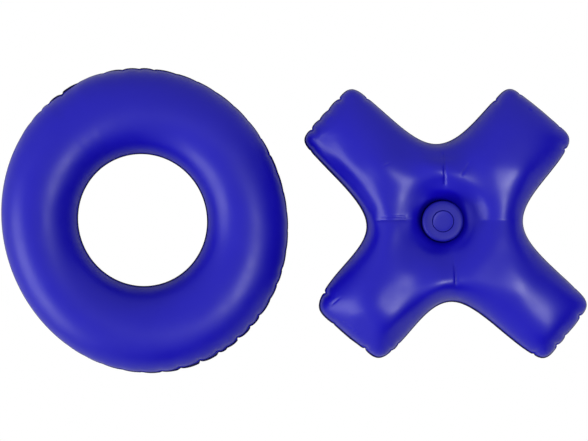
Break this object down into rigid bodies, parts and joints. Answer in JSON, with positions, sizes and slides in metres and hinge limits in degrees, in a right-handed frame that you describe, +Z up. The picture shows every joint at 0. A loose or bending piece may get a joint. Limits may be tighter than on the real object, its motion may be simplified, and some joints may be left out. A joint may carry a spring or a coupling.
{
  "type": "floating tic-tac-toe game",
  "caption": "Inflatable floating tic-tac-toe markers, a puffy O ring and a puffy X, of vinyl films welded along a rim, with push-in air valves and stoppers.",
  "frame": {"origin": "on the ground, under the middle of the box round both markers", "axes": "+X from the O marker to the X marker, +Z up out of the upper films"},
  "size_m": [0.4094, 0.2132, 0.0555],
  "materials": {
    "film": "satin royal-blue vinyl film",
    "valve": "soft moulded vinyl, satin",
    "stopper": "soft moulded vinyl, satin",
    "flap": "thin smooth vinyl"
  },
  "bodies": {
    "x_marker": {"x_upper_film": "film", "x_lower_film": "film", "x_valve_flange": "valve"},
    "x_valve": {"x_valve_neck": "valve"},
    "x_plug": {"x_stopper": "stopper"},
    "x_flap": {"x_check_flap": "flap"},
    "o_marker": {"o_upper_film": "film", "o_lower_film": "film", "o_valve_flange": "valve"},
    "o_valve": {"o_valve_neck": "valve"},
    "o_plug": {"o_stopper": "stopper"},
    "o_flap": {"o_check_flap": "flap"}
  },
  "joints": [
    {"name": "o_marker_lift", "type": "slide", "parent": "x_marker", "child": "o_marker", "axis": [0, 0, 1], "range_m": [0, 0.12]},
    {"name": "x_valve_push", "type": "slide", "parent": "x_marker", "child": "x_valve", "axis": [0, 0, -1], "range_m": [0, 0.009]},
    {"name": "x_stopper_pull", "type": "slide", "parent": "x_valve", "child": "x_plug", "axis": [0, 0, 1], "range_m": [0, 0.008]},
    {"name": "x_flap_swing", "type": "hinge", "parent": "x_valve", "child": "x_flap", "pos_m": [0.0964, -0.0005, 0.03405], "axis": [0, 1, 0], "range_deg": [0, 40], "stiffness_Nm_per_rad": 0.00005, "springref_deg": -14.32},
    {"name": "o_valve_pull", "type": "slide", "parent": "o_marker", "child": "o_valve", "axis": [0, 0, -1], "range_m": [0, 0.009]},
    {"name": "o_stopper_pull", "type": "slide", "parent": "o_valve", "child": "o_plug", "axis": [0, 0, -1], "range_m": [0, 0.008]},
    {"name": "o_flap_swing", "type": "hinge", "parent": "o_valve", "child": "o_flap", "pos_m": [-0.15352, -0.05986, 0.02825], "axis": [0, -1, 0], "range_deg": [0, 40], "stiffness_Nm_per_rad": 0.00005, "springref_deg": -14.32}
  ]
}
